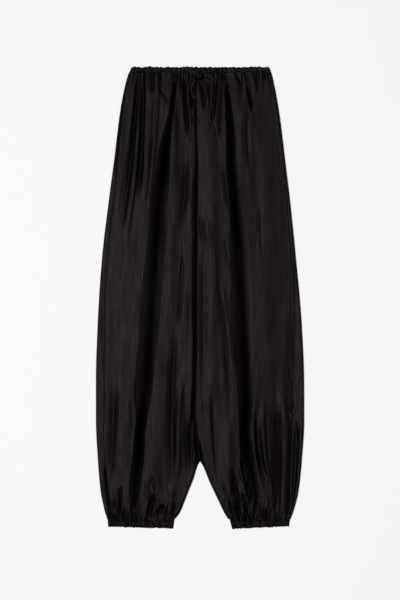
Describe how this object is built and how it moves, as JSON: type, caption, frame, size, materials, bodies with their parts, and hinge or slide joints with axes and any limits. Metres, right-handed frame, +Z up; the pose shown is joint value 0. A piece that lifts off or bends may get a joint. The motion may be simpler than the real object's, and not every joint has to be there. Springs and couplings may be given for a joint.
{
  "type": "drop-crotch balloon trousers laid flat, with a drawstring waist",
  "caption": "Loose satin trousers laid flat, with a low crotch, balloon legs, deep lengthwise folds, gathered cuffs and a gathered waist tied in a bow.",
  "frame": {"origin": "on the table, at the middle of the trousers' length and width", "axes": "+Y towards the waist, +X to the viewer's right with the front up, +Z up from the table"},
  "size_m": [0.4724, 1.05, 0.0157],
  "materials": {
    "satin": "thin black satin with a soft lengthwise lustre and fine crush lines",
    "gathered_satin": "the same black satin, tightly gathered",
    "tie": "narrow flat tie of the same black satin"
  },
  "bodies": {
    "root": {"front_left": "satin", "front_right": "satin", "back_left": "satin", "back_right": "satin", "waist_casing_front": "gathered_satin", "waist_casing_back": "gathered_satin", "cuff_left_front": "gathered_satin", "cuff_left_back": "gathered_satin", "cuff_right_front": "gathered_satin", "cuff_right_back": "gathered_satin", "tie_lead_left": "tie", "tie_lead_right": "tie", "tie_loop_left": "tie", "tie_loop_right": "tie", "tie_tail_left": "tie", "tie_tail_right": "tie", "tie_knot": "tie"}
  },
  "joints": []
}
